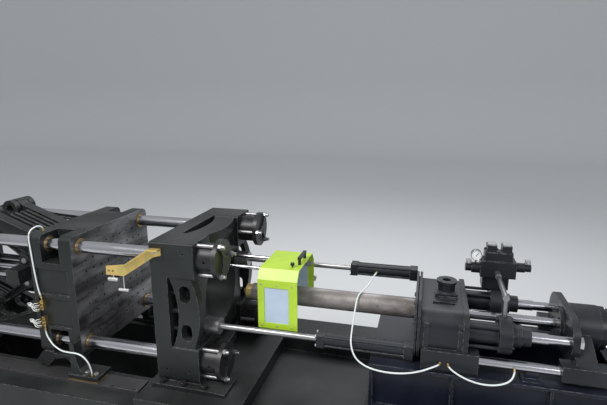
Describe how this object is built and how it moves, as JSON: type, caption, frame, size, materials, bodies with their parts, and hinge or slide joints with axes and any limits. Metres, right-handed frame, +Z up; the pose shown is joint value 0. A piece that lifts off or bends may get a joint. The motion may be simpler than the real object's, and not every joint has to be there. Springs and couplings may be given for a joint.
{
  "type": "injection moulding machine",
  "caption": "Toggle-clamp plastic injection moulding machine without its covers: platens on tie bars, nozzle guard, barrel, carriage and hydraulic drive on one bed.",
  "frame": {"origin": "middle of the bed's footprint on the floor", "axes": "+X from the clamp to the injection unit, +Y away from the operator's side, +Z up"},
  "size_m": [5.44, 1.16, 1.662],
  "materials": {
    "machine_paint": "semi-gloss charcoal enamel on castings",
    "injection_paint": "semi-gloss blue-black enamel",
    "motor_paint": "gloss black",
    "chrome_bar": "hard-chromed and polished",
    "ground_steel": "ground",
    "black_steel": "blackened and oiled",
    "zinc_yellow": "yellow passivated zinc",
    "bright_fitting": "bright plated",
    "bronze": "machined bronze",
    "bare_barrel": "turned, bare, warm grey",
    "guard_lime": "smooth lime-green powder coat",
    "guard_pane": "pale blue frosted sheet",
    "black_plastic": "moulded black",
    "white_hose": "white nylon"
  },
  "bodies": {
    "root": {"bed_frame": "machine_paint", "injection_base": "injection_paint", "levelling_feet": "ground_steel", "slideway_strips": "ground_steel", "fixed_platen": "machine_paint", "platen_bolts": "black_steel", "locating_ring": "ground_steel", "tie_bars": "chrome_bar", "tie_bar_nuts": "black_steel", "retainer_discs": "black_steel", "retainer_fasteners": "black_steel", "rear_platen": "machine_paint", "rear_pins": "ground_steel", "clamp_cylinder": "injection_paint", "crosshead_guides": "chrome_bar", "latch_bracket": "zinc_yellow", "bracket_fittings": "bright_fitting", "guard_rods": "chrome_bar", "carriage_rods": "ground_steel", "rail_posts": "injection_paint"},
    "moving_platen": {"moving_platen": "machine_paint", "platen_bushes": "bronze", "platen_shoes": "machine_paint", "wear_plates": "bronze", "front_pins": "ground_steel", "grease_blocks": "zinc_yellow", "ejector_cylinder": "injection_paint", "platen_hose": "white_hose", "shoe_hose": "white_hose"},
    "ejector": {"ejector_rod": "ground_steel"},
    "crosshead": {"crosshead": "machine_paint", "clamp_rod": "chrome_bar", "crosshead_pins": "ground_steel"},
    "rear_link_upper": {"rear_link_upper": "machine_paint"},
    "rear_link_lower": {"rear_link_lower": "machine_paint"},
    "front_link_upper": {"front_link_upper": "machine_paint"},
    "front_link_lower": {"front_link_lower": "machine_paint"},
    "crosshead_link_upper": {"crosshead_link_upper": "machine_paint"},
    "crosshead_link_lower": {"crosshead_link_lower": "machine_paint"},
    "guard": {"guard_shell": "guard_lime", "guard_windows": "guard_pane", "guard_handle": "black_plastic", "guard_latches": "bright_fitting"},
    "carriage": {"carriage_housing": "injection_paint", "barrel_flange": "injection_paint", "barrel": "bare_barrel", "nozzle": "zinc_yellow", "hopper_throat": "injection_paint", "pull_cylinders": "injection_paint", "injection_cylinders": "injection_paint", "valve_block": "injection_paint", "hydraulic_fittings": "bright_fitting", "guide_rails": "chrome_bar", "carriage_hose": "white_hose", "ram_hose": "white_hose"},
    "ram": {"ram_housing": "injection_paint", "injection_rods": "chrome_bar", "drive_motor": "motor_paint"},
    "screw": {"screw": "chrome_bar"}
  },
  "joints": [
    {"name": "platen_slide", "type": "slide", "parent": "root", "child": "moving_platen", "axis": [1, 0, 0], "range_m": [-0.3, 0.045]},
    {"name": "ejector_slide", "type": "slide", "parent": "moving_platen", "child": "ejector", "axis": [1, 0, 0], "range_m": [0, 0.1]},
    {"name": "crosshead_slide", "type": "slide", "parent": "root", "child": "crosshead", "axis": [1, 0, 0], "range_m": [-0.3004, 0.0459]},
    {"name": "rear_link_upper_swing", "type": "hinge", "parent": "root", "child": "rear_link_upper", "pos_m": [-1.93, 0, 1.42], "axis": [0, -1, 0], "range_deg": [-5.24, 32.11]},
    {"name": "rear_link_lower_swing", "type": "hinge", "parent": "root", "child": "rear_link_lower", "pos_m": [-1.93, 0, 0.98], "axis": [0, 1, 0], "range_deg": [-5.24, 32.11]},
    {"name": "front_link_upper_swing", "type": "hinge", "parent": "moving_platen", "child": "front_link_upper", "pos_m": [-0.982, 0, 1.42], "axis": [0, 1, 0], "range_deg": [-4.61, 27.93]},
    {"name": "front_link_lower_swing", "type": "hinge", "parent": "moving_platen", "child": "front_link_lower", "pos_m": [-0.982, 0, 0.98], "axis": [0, -1, 0], "range_deg": [-4.61, 27.93]},
    {"name": "crosshead_link_upper_swing", "type": "hinge", "parent": "crosshead", "child": "crosshead_link_upper", "pos_m": [-1.27661, 0, 1.28], "axis": [0, 1, 0], "range_deg": [-6.66, 41.53]},
    {"name": "crosshead_link_lower_swing", "type": "hinge", "parent": "crosshead", "child": "crosshead_link_lower", "pos_m": [-1.27661, 0, 1.12], "axis": [0, -1, 0], "range_deg": [-6.66, 41.53]},
    {"name": "guard_slide", "type": "slide", "parent": "root", "child": "guard", "axis": [1, 0, 0], "range_m": [-0.16, 0]},
    {"name": "carriage_slide", "type": "slide", "parent": "root", "child": "carriage", "axis": [1, 0, 0], "range_m": [-0.29, 0]},
    {"name": "injection_slide", "type": "slide", "parent": "carriage", "child": "ram", "axis": [1, 0, 0], "range_m": [-0.13, 0.03]},
    {"name": "screw_spin", "type": "hinge", "parent": "ram", "child": "screw", "pos_m": [1.92, 0, 1.2], "axis": [1, 0, 0], "continuous": true}
  ],
  "couplings": [
    {"joint": "crosshead_slide", "follows": "platen_slide", "ratio": 0.99793},
    {"joint": "rear_link_upper_swing", "follows": "platen_slide", "rad_per_m": -1.839},
    {"joint": "rear_link_lower_swing", "follows": "platen_slide", "rad_per_m": -1.839},
    {"joint": "front_link_upper_swing", "follows": "platen_slide", "rad_per_m": -1.5957},
    {"joint": "front_link_lower_swing", "follows": "platen_slide", "rad_per_m": -1.5957},
    {"joint": "crosshead_link_upper_swing", "follows": "platen_slide", "rad_per_m": -2.3872},
    {"joint": "crosshead_link_lower_swing", "follows": "platen_slide", "rad_per_m": -2.3872}
  ]
}
